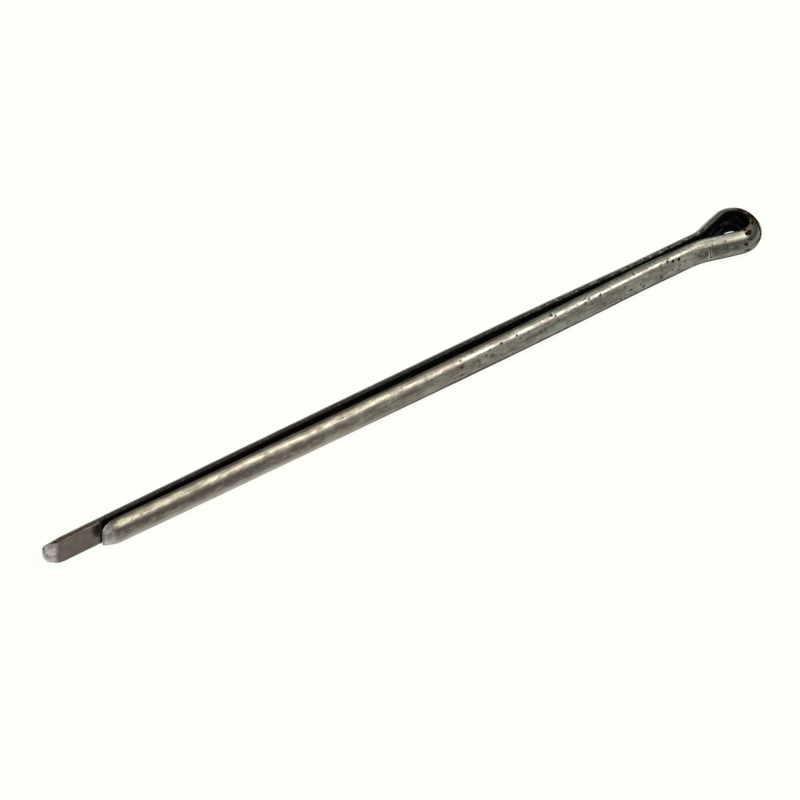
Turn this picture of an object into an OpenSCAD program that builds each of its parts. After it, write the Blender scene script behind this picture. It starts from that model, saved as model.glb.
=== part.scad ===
// Cotter pin (split pin): one length of half-round steel wire, folded flat to
// flat.  The fold is opened into an eye, and the two legs, one longer than the
// other, lie side by side as a round shank.  They are closed next to the eye
// and spring apart a little along the middle of their length.
//
// X runs from the neck under the eye to the ends of the legs.  The wire is bent
// in the XY plane, so the pin lies as it does on a table, with Z up.  The origin
// is the neck: the point on the shank's axis where the short leg comes out of
// the eye and turns along the axis.

/* [Wire] */

// Diameter of the wire's round side, which is the diameter of the closed shank
shank_d = 2.9; // [2.6:0.1:4]
// Thickness of the wire, from its flat to the top of its round side
wire_t = 1.33; // [1.1:0.01:1.4]
// Radius of the wire's two long edges, where the flat meets the round
edge_r = 0.28; // [0.1:0.01:0.35]

/* [Eye] */

// Width inside the eye, between the flats
eye_w = 2.75; // [2.5:0.05:3.6]
// Inside radius of the eye's blunt end
eye_end_r = 2.35; // [1.9:0.05:4]
// Inside radius of the eye's two corners
eye_corner_r = 1.12; // [0.7:0.01:1.15]
// How far the eye stands off the shank's axis, toward the short leg
eye_offset = 0.1; // [-0.15:0.01:0.15]
// Radius of the slight outward bow of the eye's flanks
flank_r = 50; // [30:5:200]
// Angle to the axis at which the short leg's flank runs into its neck
short_flank_angle = 18.3; // [15:0.1:30]
// Angle to the axis at which the long leg's flank runs into its neck
long_flank_angle = 20.2; // [15:0.1:30]
// Radius of the flat where the short leg's flank turns into the shank
short_neck_r = 7.3; // [3.5:0.1:9]
// Radius of the flat where the long leg's flank turns into the shank
long_neck_r = 5.3; // [3.5:0.1:9]

/* [Legs] */

// Length of the short leg, from the neck
short_leg_l = 68.5; // [50:0.1:110]
// How much longer the long leg is
leg_extension = 5.6; // [2:0.1:12]
// Length of the closed stretch, from the neck, where the legs lie parallel
closed_l = 5; // [2:0.5:12]
// Gap between the two flats along the closed stretch
closed_gap = 0.26; // [0.1:0.02:0.5]
// Distance from the neck at which the legs stand widest apart
spring_at = 25.5; // [20:0.5:40]
// How far the short leg springs out of line there
short_spring = 0.24; // [0.15:0.01:0.6]
// How far the long leg springs out of line there
long_spring = 0.26; // [0.15:0.01:0.6]
// How far both legs are still out of line where the short leg ends
end_spring = 0.06; // [0:0.01:0.14]
// Radius of the bend with which the legs begin to spring apart
spring_r = 100; // [50:10:150]

/* [Cropped ends] */

// Length of the bevel on each leg's flat
flat_bevel_l = 1; // [0.6:0.1:2.5]
// Depth of the bevel on the flat, at the leg's end
flat_bevel = 0.4; // [0.1:0.02:0.6]
// Length of the bevels on the lower edge and the round side
bevel_l = 1.4; // [0.6:0.1:2.5]
// Depth of the bevel on the lower edge
lower_bevel = 0.56; // [0.1:0.02:0.7]
// Depth of the bevel on the short leg's round side
short_round_bevel = 0.4; // [0.06:0.02:0.6]
// Depth of the bevel on the long leg's round side
long_round_bevel = 0.12; // [0.06:0.02:0.6]

/* [Forming mark] */

// Depth of the dent that the forming tool leaves on the short leg's flank
mark_depth = 0.05; // [0.03:0.01:0.1]
// Radius of the tool's nose
mark_r = 0.45; // [0.3:0.05:1]
// Distance of the dent from the end of the flank, toward the shank
mark_at = 0.1; // [0:0.1:1]

/* [Hidden] */

$fn = 64;

steel = [0.56, 0.55, 0.50];

wire_r = shank_d / 2;
half_gap = closed_gap / 2;
// The centre of the wire's round side lies this far behind the flat.
round_drop = wire_r - wire_t;
// The wire's edges are rounded by arcs that touch both the round and the flat.
edge_z = sqrt(pow(wire_r - edge_r, 2) - pow(round_drop + edge_r, 2));
edge_angle = atan2(edge_z, round_drop + edge_r);
wire_top = edge_z + edge_r;

// Worked-out lengths and angles are set to a thousandth.
function set_to(value) = round(value * 1000) / 1000;

// The eye's blunt end turns this far before its corners take over.
end_turn = set_to(
    asin((eye_w / 2 - eye_corner_r) / (eye_end_r - eye_corner_r))
);

// Each half of the pin is a run of bends, from the middle of the eye's end to
// the end of a leg.  A bend is [radius of the flat, turn], and a positive turn
// is toward the round side of the wire.  A turn of zero is a straight length.

// Angle of a flank where it leaves the eye's corner, for a flank that reaches
// the neck half a gap off the axis
function flank_start(offset, flank, neck_r) =
    set_to(acos((
        offset + eye_w / 2 - eye_corner_r - half_gap
        - neck_r * (1 - cos(flank)) + flank_r * cos(flank)
    ) / (flank_r - eye_corner_r)));

// The bends of the eye, up to the neck
function eye_bends(offset, flank, neck_r) =
    let (start = flank_start(offset, flank, neck_r)) [
        [eye_end_r, -end_turn],
        [eye_corner_r, end_turn - 90 - start],
        [flank_r, start - flank],
        [neck_r, flank]
    ];

// The bends of a leg, from the neck: it runs along the closed stretch, turns
// out, comes back parallel to the axis where it stands widest, and then closes.
function leg_bends(neck_x, spring, leg_l) =
    let (
        open_run = spring_at - closed_l,
        open = set_to(2 * atan(spring / open_run)),
        short_run = short_leg_l - spring_at,
        close_run = leg_l - spring_at,
        close = set_to(
            2 * atan((spring - end_spring) / short_run) * close_run / short_run
        )
    ) [
        [set_to(closed_l - neck_x), 0],
        [spring_r, open],
        [open_run / sin(open) - spring_r, -open],
        [close_run / sin(close), -close]
    ];

// How far a bend takes the wire
function step(r, turn, heading) =
    turn == 0 ? r * [cos(heading), sin(heading)] :
    let (next = heading + turn)
    r * sign(turn) * [sin(next) - sin(heading), cos(heading) - cos(next)];

// Place and heading at the start of each bend, and at the end of the last
function walk(bends, at, heading, i = 0) =
    i == len(bends) ? [[at, heading]] :
    let (r = bends[i][0], turn = bends[i][1])
    concat([[at, heading]],
        walk(bends, at + step(r, turn, heading), heading + turn, i + 1));

function last(list) = list[len(list) - 1];

// Length along X of the eye's bends, which start across the axis
function run_x(bends) = last(walk(bends, [0, 0], 90))[0].x;

eye_x = -run_x(eye_bends(eye_offset, short_flank_angle, short_neck_r));

// Moves by a round step and then by what is left of it, so that neighbouring
// bends meet without a gap however far away their centres are.
module place(v) {
    whole = [for (c = v) round(c * 100) / 100];
    translate(whole) translate(v - whole) children();
}

// Section of the wire: X is out from the flat, Y is across it
module half_round() {
    difference() {
        intersection() {
            translate([-round_drop, 0]) circle(r = wire_r);
            translate([0, -wire_r]) square(shank_d);
        }
        edge_waste();
        mirror([0, 1]) edge_waste();
    }
}

// What rounding takes off the section's sharp upper corner
module edge_waste() {
    out = 2 * edge_r;
    translate([edge_r, edge_z]) difference() {
        polygon([
            [0, 0], out * [cos(edge_angle), sin(edge_angle)],
            [-out, out], [-out, 0]
        ]);
        circle(r = edge_r);
    }
}

module straight(at, heading, l) {
    place([at.x, at.y, 0])
        rotate([0, 0, heading]) rotate([90, 0, 90])
            linear_extrude(height = l) half_round();
}

module bend(at, heading, r, turn) {
    toward_round = turn > 0;
    centre = at + sign(turn) * r * [-sin(heading), cos(heading)];
    place([centre.x, centre.y, 0])
        rotate_extrude(
            start = toward_round ? heading - 90 : heading + 90 + turn,
            angle = abs(turn)
        )
            place([r, 0]) rotate(toward_round ? 180 : 0) half_round();
}

// The wire from its i-th bend on
module wire(bends, stops, i = 0) {
    r = bends[i][0];
    turn = bends[i][1];
    at = stops[i][0];
    heading = stops[i][1];
    if (turn == 0) straight(at, heading, r);
    else bend(at, heading, r, turn);
    if (i < len(bends) - 1) wire(bends, stops, i + 1);
}

// Wedge that is cut off one side of a leg's end; X is along the leg, Y out of it
module bevel(depth, l) {
    fall = depth / l;
    back = -2 * l;
    linear_extrude(height = 2 * shank_d, center = true)
        polygon([
            [back, -(back + l) * fall], [l, -2 * depth],
            [l, shank_d], [back, shank_d]
        ]);
}

// What tapering the wire's round side takes off; X is along the leg
module round_bevel(depth) {
    over = bevel_l / 2;
    fall = depth / bevel_l;
    l = bevel_l + 2 * over;
    translate([-bevel_l - over, -round_drop, 0]) rotate([0, 90, 0]) difference() {
        cylinder(r = shank_d, h = l);
        cylinder(r1 = wire_r + fall * over, r2 = wire_r - fall * (l - over), h = l);
    }
}

// Everything that the cropping tool takes off; X points out of the leg's end
module crop(round_depth) {
    mirror([0, 1, 0]) bevel(flat_bevel, flat_bevel_l);
    translate([0, 0, -wire_top]) rotate([-90, 0, 0]) bevel(lower_bevel, bevel_l);
    round_bevel(round_depth);
}

// Half of the pin, drawn with its leg on the +Y side
module half_pin(offset, flank, neck_r, spring, leg_l, round_depth) {
    eye = eye_bends(offset, flank, neck_r);
    bends = concat(eye, leg_bends(eye_x + run_x(eye), spring, leg_l));
    stops = walk(bends, [eye_x, offset], 90);
    difference() {
        wire(bends, stops);
        translate(last(stops)[0]) rotate([0, 0, last(stops)[1]]) crop(round_depth);
    }
}

// Rounded nose of the forming tool, upright against the short leg's flank
module forming_tool() {
    flank_end = [
        -short_neck_r * sin(short_flank_angle),
        half_gap + short_neck_r * (1 - cos(short_flank_angle))
    ];
    translate(flank_end) rotate([0, 0, -short_flank_angle])
        translate([mark_at, wire_t + mark_r - mark_depth, 0])
            cylinder(r = mark_r, h = shank_d, center = true);
}

module pin() {
    color(steel) difference() {
        union() {
            half_pin(eye_offset, short_flank_angle, short_neck_r, short_spring,
                short_leg_l, short_round_bevel);
            mirror([0, 1, 0])
                half_pin(-eye_offset, long_flank_angle, long_neck_r, long_spring,
                    short_leg_l + leg_extension, long_round_bevel);
        }
        forming_tool();
    }
}

pin();
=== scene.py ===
import math

import bpy
import numpy as np
from mathutils import Matrix, Vector

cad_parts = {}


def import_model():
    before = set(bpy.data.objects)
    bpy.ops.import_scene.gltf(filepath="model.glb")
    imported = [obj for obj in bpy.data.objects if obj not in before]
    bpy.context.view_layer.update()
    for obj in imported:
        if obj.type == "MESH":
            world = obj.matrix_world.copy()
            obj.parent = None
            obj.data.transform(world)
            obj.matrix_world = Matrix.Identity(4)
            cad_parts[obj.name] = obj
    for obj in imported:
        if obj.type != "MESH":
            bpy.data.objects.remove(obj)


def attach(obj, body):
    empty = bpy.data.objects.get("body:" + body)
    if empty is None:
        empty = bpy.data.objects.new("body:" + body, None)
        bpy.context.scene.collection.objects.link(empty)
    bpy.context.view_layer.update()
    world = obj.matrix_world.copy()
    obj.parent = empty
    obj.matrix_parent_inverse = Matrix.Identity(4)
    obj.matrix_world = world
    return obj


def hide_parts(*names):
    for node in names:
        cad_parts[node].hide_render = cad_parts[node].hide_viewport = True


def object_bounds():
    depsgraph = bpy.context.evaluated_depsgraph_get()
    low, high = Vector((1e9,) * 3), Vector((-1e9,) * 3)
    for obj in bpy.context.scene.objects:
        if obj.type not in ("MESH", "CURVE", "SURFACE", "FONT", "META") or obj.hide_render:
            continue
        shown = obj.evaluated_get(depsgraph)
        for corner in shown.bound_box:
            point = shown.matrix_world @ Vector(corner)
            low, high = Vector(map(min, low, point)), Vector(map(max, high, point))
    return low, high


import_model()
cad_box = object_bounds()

# Lengths are in millimetres until a mesh, lamp or camera is made.
MM = 0.001

# ---------------------------------------------------------------- the wire
# The names and values are those of the part's source.

SHANK_D = 2.9
WIRE_T = 1.33
EDGE_R = 0.28

EYE_W = 2.75
EYE_END_R = 2.35
EYE_CORNER_R = 1.12
EYE_OFFSET = 0.1
FLANK_R = 50
SHORT_FLANK_ANGLE = 18.3
LONG_FLANK_ANGLE = 20.2
SHORT_NECK_R = 7.3
LONG_NECK_R = 5.3

SHORT_LEG_L = 68.5
LEG_EXTENSION = 5.6
CLOSED_L = 5
CLOSED_GAP = 0.26
SPRING_AT = 25.5
SHORT_SPRING = 0.24
LONG_SPRING = 0.26
END_SPRING = 0.06
SPRING_R = 100

FLAT_BEVEL_L = 1
FLAT_BEVEL = 0.4
BEVEL_L = 1.4
LOWER_BEVEL = 0.56
SHORT_ROUND_BEVEL = 0.4
LONG_ROUND_BEVEL = 0.12

MARK_DEPTH = 0.05
MARK_R = 0.45
MARK_AT = 0.1

WIRE_R = SHANK_D / 2
HALF_GAP = CLOSED_GAP / 2
ROUND_DROP = WIRE_R - WIRE_T
EDGE_Z = math.sqrt((WIRE_R - EDGE_R) ** 2 - (ROUND_DROP + EDGE_R) ** 2)
EDGE_ANGLE = math.atan2(EDGE_Z, ROUND_DROP + EDGE_R)
WIRE_TOP = EDGE_Z + EDGE_R


def cos(angle):
    return math.cos(math.radians(angle))


def sin(angle):
    return math.sin(math.radians(angle))


END_TURN = math.degrees(
    math.asin((EYE_W / 2 - EYE_CORNER_R) / (EYE_END_R - EYE_CORNER_R))
)


def eye_bends(offset, flank, neck_r):
    """[radius of the flat, turn] of each bend, from the middle of the eye's end to the neck."""
    start = math.degrees(
        math.acos(
            (
                offset
                + EYE_W / 2
                - EYE_CORNER_R
                - HALF_GAP
                - neck_r * (1 - cos(flank))
                + FLANK_R * cos(flank)
            )
            / (FLANK_R - EYE_CORNER_R)
        )
    )
    return [
        (EYE_END_R, -END_TURN),
        (EYE_CORNER_R, END_TURN - 90 - start),
        (FLANK_R, start - flank),
        (neck_r, flank),
    ]


def leg_bends(neck_x, spring, leg_l):
    """[radius of the flat, turn] of each bend of a leg; a turn of zero is a straight length."""
    open_run = SPRING_AT - CLOSED_L
    opening = math.degrees(2 * math.atan(spring / open_run))
    short_run = SHORT_LEG_L - SPRING_AT
    close_run = leg_l - SPRING_AT
    closing = math.degrees(
        2 * math.atan((spring - END_SPRING) / short_run) * close_run / short_run
    )
    return [
        (CLOSED_L - neck_x, 0),
        (SPRING_R, opening),
        (open_run / sin(opening) - SPRING_R, -opening),
        (close_run / sin(closing), -closing),
    ]


def bend_l(r, turn):
    return r if turn == 0 else r * math.radians(abs(turn))


def walk(bends, at, heading):
    """Place and heading at the start of each bend and at the end of the last."""
    stops = [(np.array(at, float), heading)]
    for r, turn in bends:
        at, heading = stops[-1]
        if turn == 0:
            at = at + r * np.array([cos(heading), sin(heading)])
        else:
            after = heading + turn
            side = math.copysign(r, turn)
            at = at + side * np.array(
                [sin(after) - sin(heading), cos(heading) - cos(after)]
            )
        stops.append((at, heading + turn))
    return stops


SHORT_EYE = eye_bends(EYE_OFFSET, SHORT_FLANK_ANGLE, SHORT_NECK_R)
LONG_EYE = eye_bends(-EYE_OFFSET, LONG_FLANK_ANGLE, LONG_NECK_R)
EYE_X = -walk(SHORT_EYE, (0, 0), 90)[-1][0][0]


# Lets the last station of a half count as part of its last bend
SLACK = 1e-6


class Half:
    """Half of the wire, from the middle of the eye's end to the end of a leg."""

    def __init__(self, side, offset, eye, spring, leg_l):
        neck_x = EYE_X + walk(eye, (0, 0), 90)[-1][0][0]
        self.side = side
        self.bends = eye + leg_bends(neck_x, spring, leg_l)
        self.stops = walk(self.bends, (EYE_X, offset), 90)
        self.starts = np.concatenate([[0], np.cumsum([bend_l(*b) for b in self.bends])])
        self.length = self.starts[-1]

    def at(self, s):
        """Places on the flat and the directions out of it, at distances s along the wire."""
        place = np.zeros((len(s), 2))
        angle = np.zeros(len(s))
        for i, (r, turn) in enumerate(self.bends):
            here = (s >= self.starts[i]) & (s <= self.starts[i + 1] + SLACK)
            start, heading = self.stops[i]
            run = s[here] - self.starts[i]
            h = np.radians(heading)
            if turn == 0:
                place[here] = start + run[:, None] * [math.cos(h), math.sin(h)]
                angle[here] = h
            else:
                side = math.copysign(1, turn)
                after = h + side * run / r
                place[here, 0] = start[0] + side * r * (np.sin(after) - math.sin(h))
                place[here, 1] = start[1] + side * r * (math.cos(h) - np.cos(after))
                angle[here] = after
        out = np.stack([-np.sin(angle), np.cos(angle)], 1)
        mirror = np.array([1, self.side])
        return place * mirror, out * mirror


short = Half(1, EYE_OFFSET, SHORT_EYE, SHORT_SPRING, SHORT_LEG_L)
long = Half(-1, -EYE_OFFSET, LONG_EYE, LONG_SPRING, SHORT_LEG_L + LEG_EXTENSION)


# Along the legs the upper and lower edges are crisp, and the flat stands a little proud of
# the part's.  The eye's section goes only a share of the way there.
CRISP_R = 0.1
PROUD = 0.07
EYE_CRISP = 0.3
# Distances from the eye's middle between which the section turns into the legs'
CRISP_FROM, CRISP_BY = 8, 12
TOP_ANGLE = math.asin(WIRE_TOP / WIRE_R)

# Points of the section's outline, on the round side and on each upper or lower half of the rest
ROUND_POINTS = 39
TOP_POINTS = 2
CORNER_POINTS = 5
FLAT_POINTS = 6


def eye_section():
    """Outline of the wire's section in the eye, as (out, across)."""
    round_angles = np.linspace(-EDGE_ANGLE, EDGE_ANGLE, ROUND_POINTS)
    corner = np.linspace(EDGE_ANGLE, math.pi, TOP_POINTS + CORNER_POINTS + 1)[1:]
    flat = np.linspace(EDGE_Z, 0, FLAT_POINTS + 1)[1:]
    side_out = np.concatenate([EDGE_R + EDGE_R * np.cos(corner), np.zeros(FLAT_POINTS)])
    side_across = np.concatenate([EDGE_Z + EDGE_R * np.sin(corner), flat])
    return closed(round_angles, side_out, side_across)


def leg_section():
    """Outline of the wire's section in the legs, which has a level top up to its crisp corner."""
    round_angles = np.linspace(-TOP_ANGLE, TOP_ANGLE, ROUND_POINTS)
    top_out = WIRE_R * math.cos(TOP_ANGLE) - ROUND_DROP
    top = np.linspace(top_out, CRISP_R - PROUD, TOP_POINTS + 2)[1:-1]
    corner = np.linspace(math.pi / 2, math.pi, CORNER_POINTS)
    flat = np.linspace(WIRE_TOP - CRISP_R, 0, FLAT_POINTS + 1)[1:]
    corner_out = CRISP_R - PROUD + CRISP_R * np.cos(corner)
    corner_across = WIRE_TOP - CRISP_R + CRISP_R * np.sin(corner)
    side_out = np.concatenate([top, corner_out, np.full(FLAT_POINTS, -PROUD)])
    side_across = np.concatenate([np.full(TOP_POINTS, WIRE_TOP), corner_across, flat])
    return closed(round_angles, side_out, side_across)


def closed(round_angles, side_out, side_across):
    """The round side, the upper half of the rest, and its mirror image below."""
    out = [WIRE_R * np.cos(round_angles) - ROUND_DROP, side_out, side_out[-2::-1]]
    across = [WIRE_R * np.sin(round_angles), side_across, -side_across[-2::-1]]
    return np.stack([np.concatenate(out), np.concatenate(across)], 1)


def loop_normals(loop):
    """Directions out of a closed outline, at its points."""
    along_loop = np.roll(loop, -1, 0) - np.roll(loop, 1, 0)
    normals = np.stack([along_loop[:, 1], -along_loop[:, 0]], 1)
    return normals / np.linalg.norm(normals, axis=1)[:, None]


in_eye, outline = eye_section(), leg_section()
outline_normals = loop_normals(outline)
outline_s = np.concatenate([[0], np.cumsum(np.linalg.norm(np.diff(outline, axis=0), axis=1))])
outline_l = outline_s[-1] + np.linalg.norm(outline[0] - outline[-1])


# Pitch of the stations: at the tips, at the dent, about the eye, on the bevels and elsewhere
TIP_PITCH, TIP_REACH = 0.025, 0.2
DENT_PITCH, DENT_REACH, DENT_S = 0.03, 0.6, -5.8
EYE_PITCH, EYE_REACH = 0.09, 18
BEVEL_PITCH, BEVEL_REACH = 0.07, 2.2
LEG_PITCH = 0.16


def pitch(s):
    tip = min(s + short.length, long.length - s)
    if tip < TIP_REACH:
        return TIP_PITCH
    if abs(s - DENT_S) < DENT_REACH:
        return DENT_PITCH
    if abs(s) < EYE_REACH:
        return EYE_PITCH
    return BEVEL_PITCH if tip < BEVEL_REACH else LEG_PITCH


def stations():
    """Distances along the wire from the eye's middle, negative on the short half."""
    s = -short.length
    found = [s]
    while s < long.length:
        s += pitch(s)
        found.append(min(s, long.length))
    return np.array(found)


def smooth_max(a, b, soft):
    """The larger of two values, blended where they are close."""
    return 0.5 * (a + b + np.sqrt((a - b) ** 2 + soft**2))


def ramp(x, low, high):
    """Smooth step from 0 at low to 1 at high."""
    t = np.clip((x - low) / (high - low), 0, 1)
    return t * t * (3 - 2 * t)


def leg_share(s):
    """How far the eye's section has turned into the legs'."""
    return EYE_CRISP + (1 - EYE_CRISP) * ramp(np.abs(s), CRISP_FROM, CRISP_BY)


rings = stations()
half_s = np.abs(rings)
tip_distance = np.where(rings < 0, short.length, long.length) - half_s
place = np.zeros((len(rings), 2))
out_dir = np.zeros((len(rings), 2))
for half, mask in ((short, rings < 0), (long, rings >= 0)):
    place[mask], out_dir[mask] = half.at(half_s[mask])

# ---------------------------------------------------------------- its worn surface

rng = np.random.default_rng(20)
along = np.repeat(rings[:, None], len(outline), 1)
around = np.repeat(outline_s[None, :], len(rings), 0)
depth = np.zeros(along.shape)

# Slow unevenness from the drawing die
DIE_WAVES = 14
DIE_DEPTH = 0.0011
for _ in range(DIE_WAVES):
    wave = rng.uniform(0.25, 2.4)
    turn = rng.integers(0, 4) * 2 * math.pi / outline_l
    phase = rng.uniform(0, 2 * math.pi)
    depth += DIE_DEPTH * (1 + np.sin(along * wave + around * turn + phase))

# Pits: distance along the wire, distance round the section, radius, depth, darkness.  The
# faint ones gather about the eye, and most of the dark ones are on the short leg.
FAINT_PITS, FAINT_DARKNESS = 380, 0.2
DARK_PITS, DARK_DEPTH_SHARE = 210, 0.2
pits = []
for _ in range(FAINT_PITS):
    s = rng.normal(-6, 16) if rng.random() < 0.6 else rng.uniform(rings[0], rings[-1])
    u, size = rng.uniform(0, outline_l), rng.uniform(0.06, 0.16)
    pits.append((s, u, size, rng.uniform(0.006, 0.02), FAINT_DARKNESS))
for _ in range(DARK_PITS):
    s = rng.uniform(-36, 4) if rng.random() < 0.65 else rng.uniform(4, 40)
    size = rng.uniform(0.1, 0.19)
    u, dark = rng.uniform(0, outline_l), rng.uniform(0.5, 1.0)
    pits.append((s, u, size, DARK_DEPTH_SHARE * size, dark))
# How quickly a pit's darkness is full, from its rim inward
PIT_FILL = 2.2
pitted = np.zeros(along.shape)
for s, u, radius, pit_depth, dark in pits:
    rows = np.where(np.abs(rings - s) < radius)[0]
    gap = np.abs(outline_s - u)
    gap = np.minimum(gap, outline_l - gap)
    away = ((rings[rows, None] - s) ** 2 + gap[None, :] ** 2) / radius**2
    hollow = np.clip(1 - away, 0, 1)
    depth[rows] += pit_depth * hollow**2
    pitted[rows] = np.maximum(pitted[rows], dark * np.clip(PIT_FILL * hollow, 0, 1))

share = leg_share(rings)[:, None, None]
sections = in_eye + share * (outline - in_eye) - depth[:, :, None] * outline_normals
section_out, section_across = sections[..., 0], sections[..., 1]

# Bevels of the cropped ends, whose borders are worn, and which start over a short run
WORN = 0.1
BEVEL_START = 0.5
# Depth from which a bevel shows bare metal, and the depth over which that comes in
BARE_FROM, BARE_OVER = 0.05, 0.12
left = 1 - tip_distance[:, None] / BEVEL_L
flat_left = 1 - tip_distance[:, None] / FLAT_BEVEL_L
reach = np.clip((BEVEL_START - tip_distance[:, None] + BEVEL_L) / BEVEL_START, 0, 1)
round_bevel = np.where(rings < 0, SHORT_ROUND_BEVEL, LONG_ROUND_BEVEL)[:, None]
from_centre = np.hypot(section_out + ROUND_DROP, section_across)
round_limit = WIRE_R - round_bevel * left
round_cut = smooth_max(from_centre, round_limit, WORN) - round_limit
keep = 1 - reach * round_cut / from_centre
section_out = (section_out + ROUND_DROP) * keep - ROUND_DROP
section_across = section_across * keep
flat_cut = smooth_max(section_out, FLAT_BEVEL * flat_left, WORN) - section_out
lower_limit = LOWER_BEVEL * left - WIRE_TOP
lower_cut = smooth_max(section_across, lower_limit, WORN) - section_across
section_out = section_out + reach * flat_cut
section_across = section_across + reach * lower_cut

# The edges round the end faces are worn round, toward the middle of the face as (out, across).
END_WORN = 0.16
END_MIDDLE = (0.62, 0.12)
END_R = 0.75
# Under 1, so that the worn edge runs into the face at a slant and not level with it
WORN_SHARE = 0.98
short_of = np.clip(END_WORN - tip_distance, 0, END_WORN)[:, None]
inset = END_WORN - np.sqrt(END_WORN**2 - WORN_SHARE * short_of**2)
shrunk = 1 - inset / END_R
section_out = END_MIDDLE[0] + (section_out - END_MIDDLE[0]) * shrunk
section_across = END_MIDDLE[1] + (section_across - END_MIDDLE[1]) * shrunk

points = np.zeros((len(rings), len(outline), 3))
points[..., 0] = place[:, None, 0] + section_out * out_dir[:, None, 0]
points[..., 1] = place[:, None, 1] + section_out * out_dir[:, None, 1]
points[..., 2] = section_across

# Dent of the forming tool on the short leg's flank
flank_end = np.array(
    [
        -SHORT_NECK_R * sin(SHORT_FLANK_ANGLE),
        HALF_GAP + SHORT_NECK_R * (1 - cos(SHORT_FLANK_ANGLE)),
    ]
)
flank_dir = np.array([cos(-SHORT_FLANK_ANGLE), sin(-SHORT_FLANK_ANGLE)])
flank_out = np.array([-flank_dir[1], flank_dir[0]])
nose = flank_end + MARK_AT * flank_dir + (WIRE_T + MARK_R - MARK_DEPTH) * flank_out
from_nose = points[..., :2] - nose
nose_distance = np.linalg.norm(from_nose, axis=-1)
pushed = nose_distance < MARK_R
points[pushed, :2] = nose + from_nose[pushed] * (MARK_R / nose_distance[pushed])[:, None]


# Rings of an end face: size, against the leg's last ring, and depth
FACE_RINGS = ((0.97, 0.012), (0.88, 0.018), (0.68, 0.02), (0.44, 0.016), (0.2, 0.02))
FACE_ROUGHNESS = 0.006
# Distance out from the flat that the middle of an end face is given in the masks
FACE_MIDDLE_OUT = 0.7


def cap(ring, centre, inward):
    """Rings that close a leg's end, a little uneven and rough."""
    made = []
    for size, back in FACE_RINGS:
        rough = rng.normal(0, FACE_ROUGHNESS, len(ring))
        made.append(centre + (ring - centre) * size + (back + rough)[:, None] * inward)
    return made


# Each mask below takes the places on the wire, as (distance along, out, across), and gives
# how strongly something shows there, from 0 to 1.


def hollow_shade(wire):
    """Painted shade: black inside the eye and on the legs' flats, in the slit between the legs; also dark
    at the long leg's far top corner.
    """
    s, out, across = wire.T
    off_flat = out + PROUD * leg_share(s)
    extension = ramp(s, short.length - 0.5, short.length - 0.1)
    reach = 0.2 * ramp(s, -1.4, -1) + 0.12 * ramp(s, -1.4, -1) * (1 - ramp(s, 0.6, 1.8))
    inside = (1 - ramp(off_flat, 0.01 + 0.5 * reach, 0.08 + reach)) * (1 - extension)
    at_tip = ramp(s, long.length - 0.7, long.length - 0.2)
    return np.maximum(inside, at_tip * ramp(out, 0.8, 1.0) * ramp(across, 0.2, 0.5))


def burn(wire):
    """The burnt upper side of the eye's end."""
    s, out, across = wire.T
    along_end = ramp(s + 0.6 * (1 - out), -1.2, -0.5) * (1 - ramp(s, 0.5, 1.6))
    return along_end * ramp(across, -0.3, 0.8)


def edge(wire):
    """The long leg's upper inner edge, which is plainer toward the tip."""
    s, out, across = wire.T
    along_leg = ramp(s, 3.5, 6) * (1 - 0.8 * ramp(s, 18, 38))
    return along_leg * (1 - ramp(out, 0.4, 0.7)) * ramp(across, 0.8, 1.1)


def underside_shade(wire):
    """Painted shade: the dark strip along the wire's underside, where it meets the floor, which fades
    toward the tips.
    """
    s, _, across = wire.T
    start = 0.5 - 0.18 * ramp(np.abs(s), 6, 12)
    return ramp(-across - start, 0, 0.17) * (1 - ramp(np.abs(s), 34, 52))


def lower_sheen(wire):
    """Painted reflection: a lighter strip low on the round side, toward the tips."""
    s, out, across = wire.T
    return ramp(-across, -0.1, 0.3) * ramp(np.abs(s), 36, 58) * (out > 0.2)


def shade(wire):
    """Painted shade: darker strips along the short leg's side below its highlight, beside the eye and
    toward the tip.
    """
    s, _, across = wire.T
    eye_strip = ramp(across, -0.2, 0.3) * (1 - ramp(across, 0.75, 1))
    tip_strip = ramp(across, 0.2, 0.4) * (1 - ramp(across, 0.75, 0.95))
    by_eye = ramp(-s, 1.8, 3) * ramp(s, -9, -6.5) * eye_strip
    return np.maximum(by_eye, 0.7 * ramp(-s, 36, 58) * tip_strip)


# The dent's strokes, a painted highlight and shade: distance along the wire, strength (a dark one's is
# negative), lower end
STROKES = ((-5.98, 0.75, -0.3), (-5.84, -0.7, -0.3), (-5.66, 0.55, 0.0))
STROKE_HALF_W = 0.07


def dent_shading(wire):
    """The dent's two bright strokes, which are painted highlights, and the dark one between, painted shade,
    which counts below 0.
    """
    s, out, across = wire.T
    found = np.zeros(len(wire))
    for middle, strength, low in STROKES:
        line = np.clip(1 - np.abs(s - middle) / STROKE_HALF_W, 0, 1)
        strip = ramp(across, low - 0.15, low) * (1 - ramp(across, 0.45, 0.65))
        found += strength * line * strip * (out > 0.6)
    return found


# Specks and stains of rust: distance along the wire, out, across, radius, strength
RUST = [
    (-1.93, 0.65, 1.21, 0.3, 1.0),
    (-2.05, 0.25, 1.36, 0.2, 0.9),
    (-10.2, 0.93, 0.98, 0.2, 1.0),
    (-9.55, 0.98, 0.9, 0.19, 1.0),
    (-10.5, 1.2, 0.3, 0.18, 0.9),
    (-11.1, 1.05, 0.75, 0.14, 0.8),
]

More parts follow.
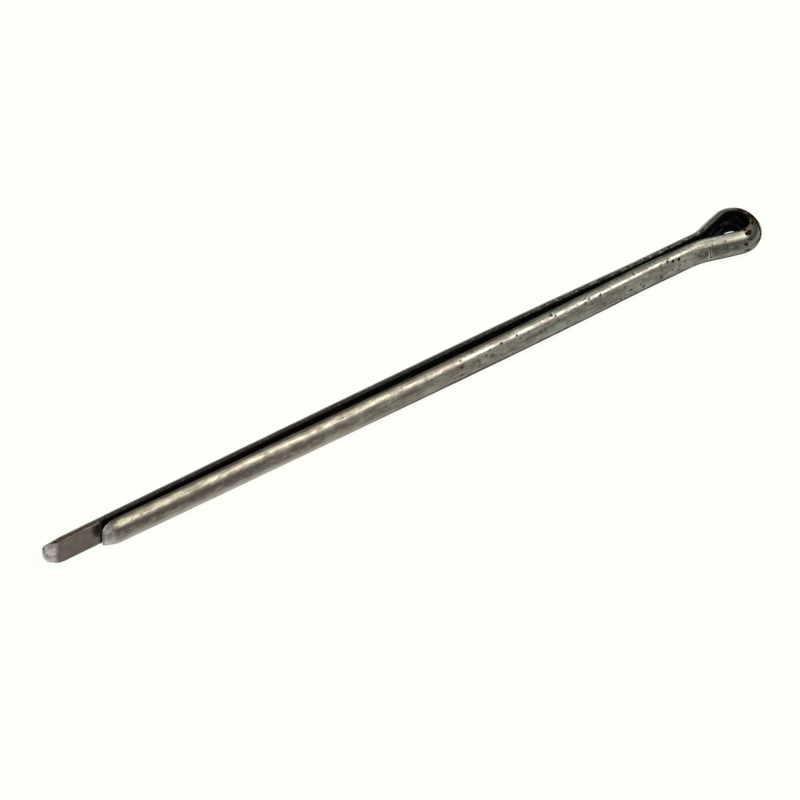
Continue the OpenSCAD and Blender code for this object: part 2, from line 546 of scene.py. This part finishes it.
# Dark stains, given in the same way
STAINS = [
    (-0.92, 0.98, 0.93, 0.2, 1.0),
    (-1.06, 1.15, 0.72, 0.22, 1.0),
    (-1.15, 1.28, 0.35, 0.26, 1.0),
    (-1.3, 1.32, -0.1, 0.26, 1.0),
    (-1.6, 1.3, 0.1, 0.2, 1.0),
    (-1.7, 1.22, -0.5, 0.22, 1.0),
    (-2.0, 1.04, 0.84, 0.27, 0.85),
    (-2.3, 1.24, 0.42, 0.2, 0.8),
    (-2.2, 1.25, -0.4, 0.22, 0.85),
    (-2.6, 0.12, 1.36, 0.22, 0.85),
    (5.4, 0.35, 1.34, 0.25, 0.9),
    (81.2, 0.3, 1.2, 0.25, 0.9),
]


def specks(wire, places):
    """Round spots at the given places, full at their middles."""
    found = np.zeros(len(wire))
    for s, out, across, radius, strength in places:
        away = np.linalg.norm(wire - [s, out, across], axis=1) / radius
        found = np.maximum(found, strength * np.clip(1.4 - away, 0, 1))
    return found


def new_object(name, data):
    piece = bpy.data.objects.new(name, data)
    bpy.context.scene.collection.objects.link(piece)
    return piece


def build_wire():
    """The whole pin as one closed mesh, with its masks."""
    first, last = points[0], points[-1]
    first_centre, last_centre = first.mean(0), last.mean(0)
    first_in = np.append(place[1] - place[0], 0)
    last_in = np.append(place[-2] - place[-1], 0)
    first_in /= np.linalg.norm(first_in)
    last_in /= np.linalg.norm(last_in)
    start_cap = cap(first, first_centre, first_in)
    end_cap = cap(last, last_centre, last_in)
    layers = start_cap[::-1] + list(points) + end_cap
    verts = np.concatenate(layers + [[first_centre], [last_centre]])
    count = len(outline)
    faces = []
    for i in range(len(layers) - 1):
        a, b = i * count, (i + 1) * count
        for j in range(count):
            k = (j + 1) % count
            faces.append((a + j, b + j, b + k, a + k))
    start, end = len(verts) - 2, len(verts) - 1
    tail = (len(layers) - 1) * count
    for j in range(count):
        k = (j + 1) % count
        faces.append((start, j, k))
        faces.append((end, tail + k, tail + j))
    mesh = bpy.data.meshes.new("cotter_pin")
    mesh.from_pydata((verts * MM).tolist(), [], faces)
    mesh.validate()
    spare = len(start_cap)
    ring_s = np.concatenate([np.full(spare, rings[0]), rings, np.full(spare, rings[-1])])
    ring_row = np.clip(np.arange(len(layers)) - spare, 0, len(rings) - 1)
    wire = np.zeros((len(layers), count, 3))
    wire[..., 0] = ring_s[:, None]
    wire[..., 1] = section_out[ring_row]
    wire[..., 2] = section_across[ring_row]
    middles = [[rings[0], FACE_MIDDLE_OUT, 0], [rings[-1], FACE_MIDDLE_OUT, 0]]
    wire = np.concatenate([wire.reshape(-1, 3), middles])
    # The metal is bare where a bevel takes off more than its worn border does.
    cut_rows = np.maximum(np.maximum(flat_cut, lower_cut), round_cut) * reach
    cut = np.clip((cut_rows[ring_row] - BARE_FROM) / BARE_OVER, 0, 1)
    cut[:spare] = 1
    cut[-spare:] = 1
    cut = np.append(cut.reshape(-1), [1, 1])
    attribute = mesh.attributes.new("wire", "FLOAT_VECTOR", "POINT")
    attribute.data.foreach_set("vector", wire.astype(np.float32).reshape(-1))
    pit = np.append(pitted[ring_row].reshape(-1), [0, 0])
    masks = {
        "cut": cut,
        "pit": pit,
        "hollow_shade": hollow_shade(wire),
        "rust": specks(wire, RUST),
        "stain": specks(wire, STAINS),
        "shade": shade(wire),
        "burn": burn(wire),
        "edge": edge(wire),
        "underside_shade": underside_shade(wire),
        "lower_sheen": lower_sheen(wire),
        "dent_shading": dent_shading(wire),
    }
    for name, values in masks.items():
        attribute = mesh.attributes.new(name, "FLOAT", "POINT")
        attribute.data.foreach_set("value", values.astype(np.float32))
    mesh.polygons.foreach_set("use_smooth", [True] * len(mesh.polygons))
    mesh.set_sharp_from_angle(angle=math.radians(38))
    return new_object("cotter_pin", mesh)


pin = build_wire()


# ---------------------------------------------------------------- materials

class Nodes:
    """Short ways to add nodes to a material's tree."""

    def __init__(self, tree):
        self.tree = tree
        tree.nodes.clear()

    def add(self, kind, **settings):
        node = self.tree.nodes.new(kind)
        for name, value in settings.items():
            setattr(node, name, value)
        return node

    def attribute(self, name, output="Fac"):
        return self.add("ShaderNodeAttribute", attribute_name=name).outputs[output]

    def put(self, socket, value):
        if isinstance(value, bpy.types.NodeSocket):
            self.tree.links.new(value, socket)
        else:
            socket.default_value = value

    def math(self, operation, a, b=0.0, c=0.0, clamp=False):
        node = self.add("ShaderNodeMath", operation=operation, use_clamp=clamp)
        for socket, value in zip(node.inputs, (a, b, c)):
            self.put(socket, value)
        return node.outputs[0]

    def span(self, value, low, high, to_low=0.0, to_high=1.0):
        node = self.add("ShaderNodeMapRange", interpolation_type="SMOOTHSTEP")
        for socket, v in zip(node.inputs, (value, low, high, to_low, to_high)):
            self.put(socket, v)
        return node.outputs[0]

    def stretch(self, vector, scale):
        node = self.add("ShaderNodeVectorMath", operation="MULTIPLY")
        self.put(node.inputs[0], vector)
        node.inputs[1].default_value = scale
        return node.outputs[0]

    def noise(self, vector, scale, detail=2.0, rough=0.5, seed=0.0):
        node = self.add("ShaderNodeTexNoise", noise_dimensions="4D")
        self.put(node.inputs["Vector"], vector)
        node.inputs["W"].default_value = seed
        node.inputs["Scale"].default_value = scale
        node.inputs["Detail"].default_value = detail
        node.inputs["Roughness"].default_value = rough
        return node.outputs["Fac"]

    def mix(self, factor, a, b):
        node = self.add("ShaderNodeMix", data_type="RGBA")
        self.put(node.inputs["Factor"], factor)
        self.put(node.inputs[6], a)
        self.put(node.inputs[7], b)
        return node.outputs[2]


# Height of the finest relief
RELIEF = 0.014


def steel_material():
    material = bpy.data.materials.new("drawn_steel")
    material.use_nodes = True
    n = Nodes(material.node_tree)
    wire = n.attribute("wire", "Vector")
    cut, pit, hollow_shade, rust, stain, shade = (
        n.attribute(name) for name in ("cut", "pit", "hollow_shade", "rust", "stain", "shade")
    )
    burn, edge, underside_shade, lower_sheen, dent_shading = (
        n.attribute(name) for name in ("burn", "edge", "underside_shade", "lower_sheen", "dent_shading")
    )
    split = n.add("ShaderNodeSeparateXYZ")
    n.put(split.inputs[0], wire)
    toward_tip = n.span(n.math("ABSOLUTE", split.outputs[0]), 16, 60)
    on_long = n.span(split.outputs[0], 12, 30)
    unshaded = n.math("SUBTRACT", 1.0, hollow_shade)

    lines = n.noise(n.stretch(wire, (0.14, 7, 7)), 1.0, 2, 0.6, 1)
    fine_lines = n.noise(n.stretch(wire, (0.3, 16, 16)), 1.0, 1, 0.5, 6)
    mottle = n.noise(n.stretch(wire, (0.8, 2.0, 2.0)), 1.0, 3, 0.6, 2)
    tint = n.noise(n.stretch(wire, (0.35, 1.1, 1.1)), 1.0, 3, 0.55, 3)
    grain = n.noise(n.stretch(wire, (3.2, 5.5, 5.5)), 1.0, 3, 0.6, 4)
    sparkle = n.noise(n.stretch(wire, (2.4, 6, 6)), 1.0, 2, 0.5, 5)
    blots = n.noise(n.stretch(wire, (1.6, 2.6, 2.6)), 1.0, 2, 0.5, 7)
    crumbs = n.noise(n.stretch(wire, (4, 4, 4)), 1.0, 3, 0.6, 8)

    # Bare steel: olive grey near the eye and browner toward the tips
    pale = n.mix(toward_tip, (0.31, 0.31, 0.268, 1), (0.3, 0.275, 0.215, 1))
    dull = n.mix(toward_tip, (0.18, 0.178, 0.152, 1), (0.17, 0.143, 0.118, 1))
    colour = n.mix(n.span(mottle, 0.35, 0.65), dull, pale)
    colour = n.mix(n.span(lines, 0.5, 0.64, 0.0, 0.75), colour, (0.09, 0.086, 0.074, 1))
    colour = n.mix(n.span(fine_lines, 0.54, 0.7, 0.0, 0.5), colour, (0.44, 0.43, 0.38, 1))
    colour = n.mix(n.span(tint, 0.5, 0.64, 0.0, 0.6), colour, (0.17, 0.125, 0.12, 1))
    colour = n.mix(n.span(grain, 0.6, 0.68, 0.0, 0.75), colour, (0.045, 0.042, 0.034, 1))

    # The long leg is darker on top beside the short one, which is painted shade, and browner past its end,
    # and the short leg's side has strips of painted shade.
    past_short = n.span(split.outputs[0], short.length - 1.5, short.length + 1)
    beside_short = n.math("SUBTRACT", on_long, past_short, clamp=True)
    long_top_shade = n.math("MULTIPLY", beside_short, n.span(split.outputs[2], 0.6, 0.95))
    colour = n.mix(n.math("MULTIPLY", long_top_shade, 0.82), colour, (0.035, 0.026, 0.03, 1))
    colour = n.mix(n.math("MULTIPLY", past_short, 0.75), colour, (0.125, 0.092, 0.082, 1))
    # Painted reflection low on the round side, toward the tips
    colour = n.mix(n.math("MULTIPLY", lower_sheen, 0.4), colour, (0.6, 0.56, 0.52, 1))
    shaded = n.math("MULTIPLY", shade, n.span(blots, 0.42, 0.58, 0.2, 0.85))
    shade_colour = n.mix(toward_tip, (0.06, 0.06, 0.04, 1), (0.09, 0.072, 0.078, 1))
    colour = n.mix(shaded, colour, shade_colour)
    # Painted shade along the underside, where the pin meets the floor
    contact_shade = n.math("MULTIPLY", underside_shade, n.span(blots, 0.4, 0.6, 0.8, 1.0))
    colour = n.mix(contact_shade, colour, (0.045, 0.042, 0.04, 1))

    # Long leg's inner edges: dark blots, and bright dashes that are painted glints
    blotted = n.math("MULTIPLY", edge, n.span(blots, 0.46, 0.58, 0.15, 0.95))
    colour = n.mix(blotted, colour, (0.025, 0.022, 0.018, 1))
    edge_glint = n.math("MULTIPLY", edge, n.span(sparkle, 0.56, 0.62, 0.0, 0.9))
    colour = n.mix(edge_glint, colour, (0.55, 0.55, 0.5, 1))

    # Painted shade inside: black in the slit and in the eye
    hollow_shade_colour = n.mix(n.span(mottle, 0.48, 0.66), (0.004, 0.004, 0.006, 1), (0.055, 0.058, 0.08, 1))
    hollow_shade_colour = n.mix(n.math("MULTIPLY", toward_tip, 0.7), hollow_shade_colour, (0.014, 0.008, 0.008, 1))
    hollow_shade_colour = n.mix(n.span(split.outputs[2], 0.75, 1.0), hollow_shade_colour, (0.006, 0.005, 0.004, 1))
    colour = n.mix(hollow_shade, colour, hollow_shade_colour)

    # Burnt crust at the eye's end: black, brown and tan
    crust_edge = n.math("MULTIPLY_ADD", n.math("SUBTRACT", grain, 0.5), 3.0, burn)
    burnt = n.math("MULTIPLY", burn, unshaded)
    crust = n.math("MULTIPLY", n.span(crust_edge, 0.3, 0.55), n.span(burnt, 0.0, 0.3))
    crust_colour = n.mix(n.span(crumbs, 0.46, 0.62), (0.008, 0.006, 0.004, 1), (0.07, 0.052, 0.028, 1))
    crust_colour = n.mix(n.span(crumbs, 0.6, 0.68), crust_colour, (0.34, 0.28, 0.14, 1))
    colour = n.mix(crust, colour, crust_colour)

    # Cropped ends
    cut_colour = n.mix(n.span(mottle, 0.35, 0.65), (0.26, 0.23, 0.22, 1), (0.6, 0.55, 0.54, 1))
    colour = n.mix(n.math("MULTIPLY", cut, unshaded), colour, cut_colour)

    # Rust, stains, pits, and the dent's strokes, which are painted highlights and shade
    rust_edge = n.math("MULTIPLY_ADD", n.math("SUBTRACT", grain, 0.5), 1.4, rust)
    halo = n.math("MULTIPLY", n.span(rust, 0.05, 0.4), 0.5)
    colour = n.mix(halo, colour, (0.26, 0.19, 0.16, 1))
    rusty = n.math("MULTIPLY", n.span(rust_edge, 0.5, 0.66), n.span(rust, 0.0, 0.2))
    rust_colour = n.mix(n.span(sparkle, 0.45, 0.62), (0.008, 0.004, 0.003, 1), (0.045, 0.018, 0.01, 1))
    colour = n.mix(rusty, colour, rust_colour)
    stain_edge = n.math("MULTIPLY_ADD", n.math("SUBTRACT", sparkle, 0.5), 2.2, stain)
    stained = n.math("MULTIPLY", n.span(stain_edge, 0.4, 0.62), n.span(stain, 0.0, 0.2))
    stain_colour = n.mix(n.span(grain, 0.48, 0.58), (0.012, 0.011, 0.006, 1), (0.07, 0.065, 0.03, 1))
    colour = n.mix(stained, colour, stain_colour)
    colour = n.mix(n.math("MULTIPLY", pit, 0.95), colour, (0.012, 0.009, 0.007, 1))
    colour = n.mix(n.math("MAXIMUM", dent_shading, 0.0), colour, (0.95, 0.95, 0.88, 1))
    darker = n.math("MULTIPLY", dent_shading, -1.0, clamp=True)
    colour = n.mix(darker, colour, (0.03, 0.03, 0.026, 1))

    # What is crusted, rusty, pitted, stained or blotted is matt, and so is the painted shade; the rest is
    # bare metal.
    matt = n.math("MAXIMUM", n.math("MAXIMUM", crust, rusty), n.math("MAXIMUM", pit, hollow_shade))
    matt = n.math("MAXIMUM", matt, n.math("MAXIMUM", blotted, stained))
    matt = n.math("MAXIMUM", matt, n.math("MAXIMUM", n.math("MULTIPLY", shaded, 0.7), contact_shade))
    bare = n.math("SUBTRACT", 1.0, matt)
    steel_rough = n.math("ADD", n.span(mottle, 0.35, 0.65, 0.3, 0.22), n.math("MULTIPLY", toward_tip, 0.07))
    height = n.math("MULTIPLY", mottle, 0.4)
    height = n.math("MULTIPLY_ADD", lines, 0.28, height)
    height = n.math("MULTIPLY_ADD", fine_lines, 0.1, height)
    height = n.math("MULTIPLY_ADD", grain, 0.45, height)
    height = n.math("MULTIPLY_ADD", n.math("MULTIPLY", crust, sparkle), 3.0, height)
    bump = n.add("ShaderNodeBump")
    bump.inputs["Strength"].default_value = 1
    bump.inputs["Distance"].default_value = RELIEF * MM
    n.put(bump.inputs["Height"], height)
    shader = n.add("ShaderNodeBsdfPrincipled")
    n.put(shader.inputs["Base Color"], colour)
    n.put(shader.inputs["Roughness"], n.math("MULTIPLY_ADD", matt, 0.4, steel_rough))
    n.put(shader.inputs["Metallic"], bare)
    n.put(shader.inputs["Specular IOR Level"], n.math("MULTIPLY", bare, 0.5))
    n.put(shader.inputs["Normal"], bump.outputs[0])
    end = n.add("ShaderNodeOutputMaterial")
    n.put(end.inputs["Surface"], shader.outputs[0])
    return material


pin.data.materials.append(steel_material())
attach(pin, "root")
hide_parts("pin")

# ---------------------------------------------------------------- studio

WHITE = (0.982, 0.991, 0.939, 1)

# Half the floor's width, in metres
FLOOR_REACH = 1.5
FLOOR_GREY = (0.8, 0.8, 0.8, 1)
FLOOR_GLOW = 1.06
# Share of the glow that is seen directly, where the rest shows the shadow, and in the steel
GLOW_SEEN = 0.9
GLOW_MIRRORED = 0.68


def floor():
    """A plane under the pin that glows white and still takes its shadow."""
    r, z = FLOOR_REACH, cad_box[0][2]
    mesh = bpy.data.meshes.new("floor")
    mesh.from_pydata([(-r, -r, z), (r, -r, z), (r, r, z), (-r, r, z)], [], [(0, 1, 2, 3)])
    material = bpy.data.materials.new("floor")
    material.use_nodes = True
    n = Nodes(material.node_tree)
    path = n.add("ShaderNodeLightPath")
    mirrored = n.math("MAXIMUM", path.outputs["Is Glossy Ray"], path.outputs["Is Transmission Ray"])
    in_steel = n.math("MULTIPLY", mirrored, GLOW_MIRRORED)
    seen = n.math("MULTIPLY_ADD", path.outputs["Is Camera Ray"], GLOW_SEEN, in_steel)
    diffuse = n.add("ShaderNodeBsdfDiffuse")
    diffuse.inputs["Color"].default_value = FLOOR_GREY
    glow = n.add("ShaderNodeEmission")
    glow.inputs["Color"].default_value = WHITE
    glow.inputs["Strength"].default_value = FLOOR_GLOW
    blend = n.add("ShaderNodeMixShader")
    n.put(blend.inputs[0], seen)
    n.put(blend.inputs[1], diffuse.outputs[0])
    n.put(blend.inputs[2], glow.outputs[0])
    end = n.add("ShaderNodeOutputMaterial")
    n.put(end.inputs["Surface"], blend.outputs[0])
    mesh.materials.append(material)
    return new_object("floor", mesh)


def world():
    """A room that is dark low down and lighter overhead, and white to the camera."""
    made = bpy.data.worlds.new("studio")
    bpy.context.scene.world = made
    made.use_nodes = True
    n = Nodes(made.node_tree)
    path = n.add("ShaderNodeLightPath")
    direction = n.add("ShaderNodeTexCoord").outputs["Generated"]
    split = n.add("ShaderNodeSeparateXYZ")
    n.put(split.inputs[0], direction)
    up = n.span(split.outputs[2], 0.0, 0.85)
    room = n.mix(up, (0.03, 0.028, 0.028, 1), (0.5, 0.5, 0.46, 1))
    colour = n.mix(path.outputs["Is Camera Ray"], room, WHITE)
    background = n.add("ShaderNodeBackground")
    n.put(background.inputs["Color"], colour)
    end = n.add("ShaderNodeOutputWorld")
    n.put(end.inputs["Surface"], background.outputs[0])


def lamp(name, centre, direction, distance, along_axis, size_x, size_y, radiance, colour):
    """An oval soft lamp, seen from centre in that direction, with size_x along an axis."""
    toward = Vector(direction).normalized()
    data = bpy.data.lights.new(name, "AREA")
    data.shape = "ELLIPSE"
    data.size = size_x * MM
    data.size_y = size_y * MM
    data.energy = radiance * math.pi * (math.pi / 4 * data.size * data.size_y)
    data.color = colour
    x = Vector(along_axis)
    x = (x - toward * x.dot(toward)).normalized()
    turn = Matrix((x, toward.cross(x), toward)).transposed().to_4x4()
    place_at = (Vector(centre) + toward * distance) * MM
    new_object(name, data).matrix_world = Matrix.Translation(place_at) @ turn


def camera():
    """A long lens that looks down along the pin, from its tip and the short leg's side."""
    azimuth, elevation, roll = 53.904, 41.948, 0.346
    # Width of the view at the pin, what it is centred on, and its shift from there
    view_w = 75.67087
    middle = Vector((35, 0, 0))
    right_shift, up_shift = -1.2163, 0.3013
    toward = Vector(
        (
            cos(elevation) * cos(azimuth),
            cos(elevation) * sin(azimuth),
            sin(elevation),
        )
    )
    right = Vector((-sin(azimuth), cos(azimuth), 0))
    up = toward.cross(right)
    right, up = (
        right * cos(roll) + up * sin(roll),
        up * cos(roll) - right * sin(roll),
    )
    data = bpy.data.cameras.new("camera")
    data.lens = 1200
    data.sensor_width = 36
    distance = data.lens * view_w / data.sensor_width
    piece = new_object("camera", data)
    turn = Matrix((right, up, toward)).transposed().to_4x4()
    target = middle - right * right_shift - up * up_shift
    piece.matrix_world = Matrix.Translation((target + toward * distance) * MM) @ turn
    data.clip_start = 0.1
    data.clip_end = 20
    bpy.context.scene.camera = piece


# Where the two main lamps are, seen from the pin
MAIN = (-0.445, 0.414, 0.794)

floor()
world()
lamp("key", (26, 0, 0), MAIN, 250, (1, 0, 0), 84, 60, 6.2, (1, 0.99, 0.93))
lamp("soft", (85, 0, 0), MAIN, 252, (1, 0, 0), 140, 200, 2.3, (1, 0.98, 0.88))
lamp("card", (18, 0, 0), (-0.438, 0.86, 0.26), 150, (1, 0, 0), 70, 90, 0.8, (1, 0.99, 0.94))
lamp("top", (-5, 0, 0), (-0.22, -0.12, 0.97), 200, (0, 1, 0), 110, 55, 2.0, (0.98, 1, 0.93))
camera()
bpy.context.scene.view_settings.view_transform = "Standard"
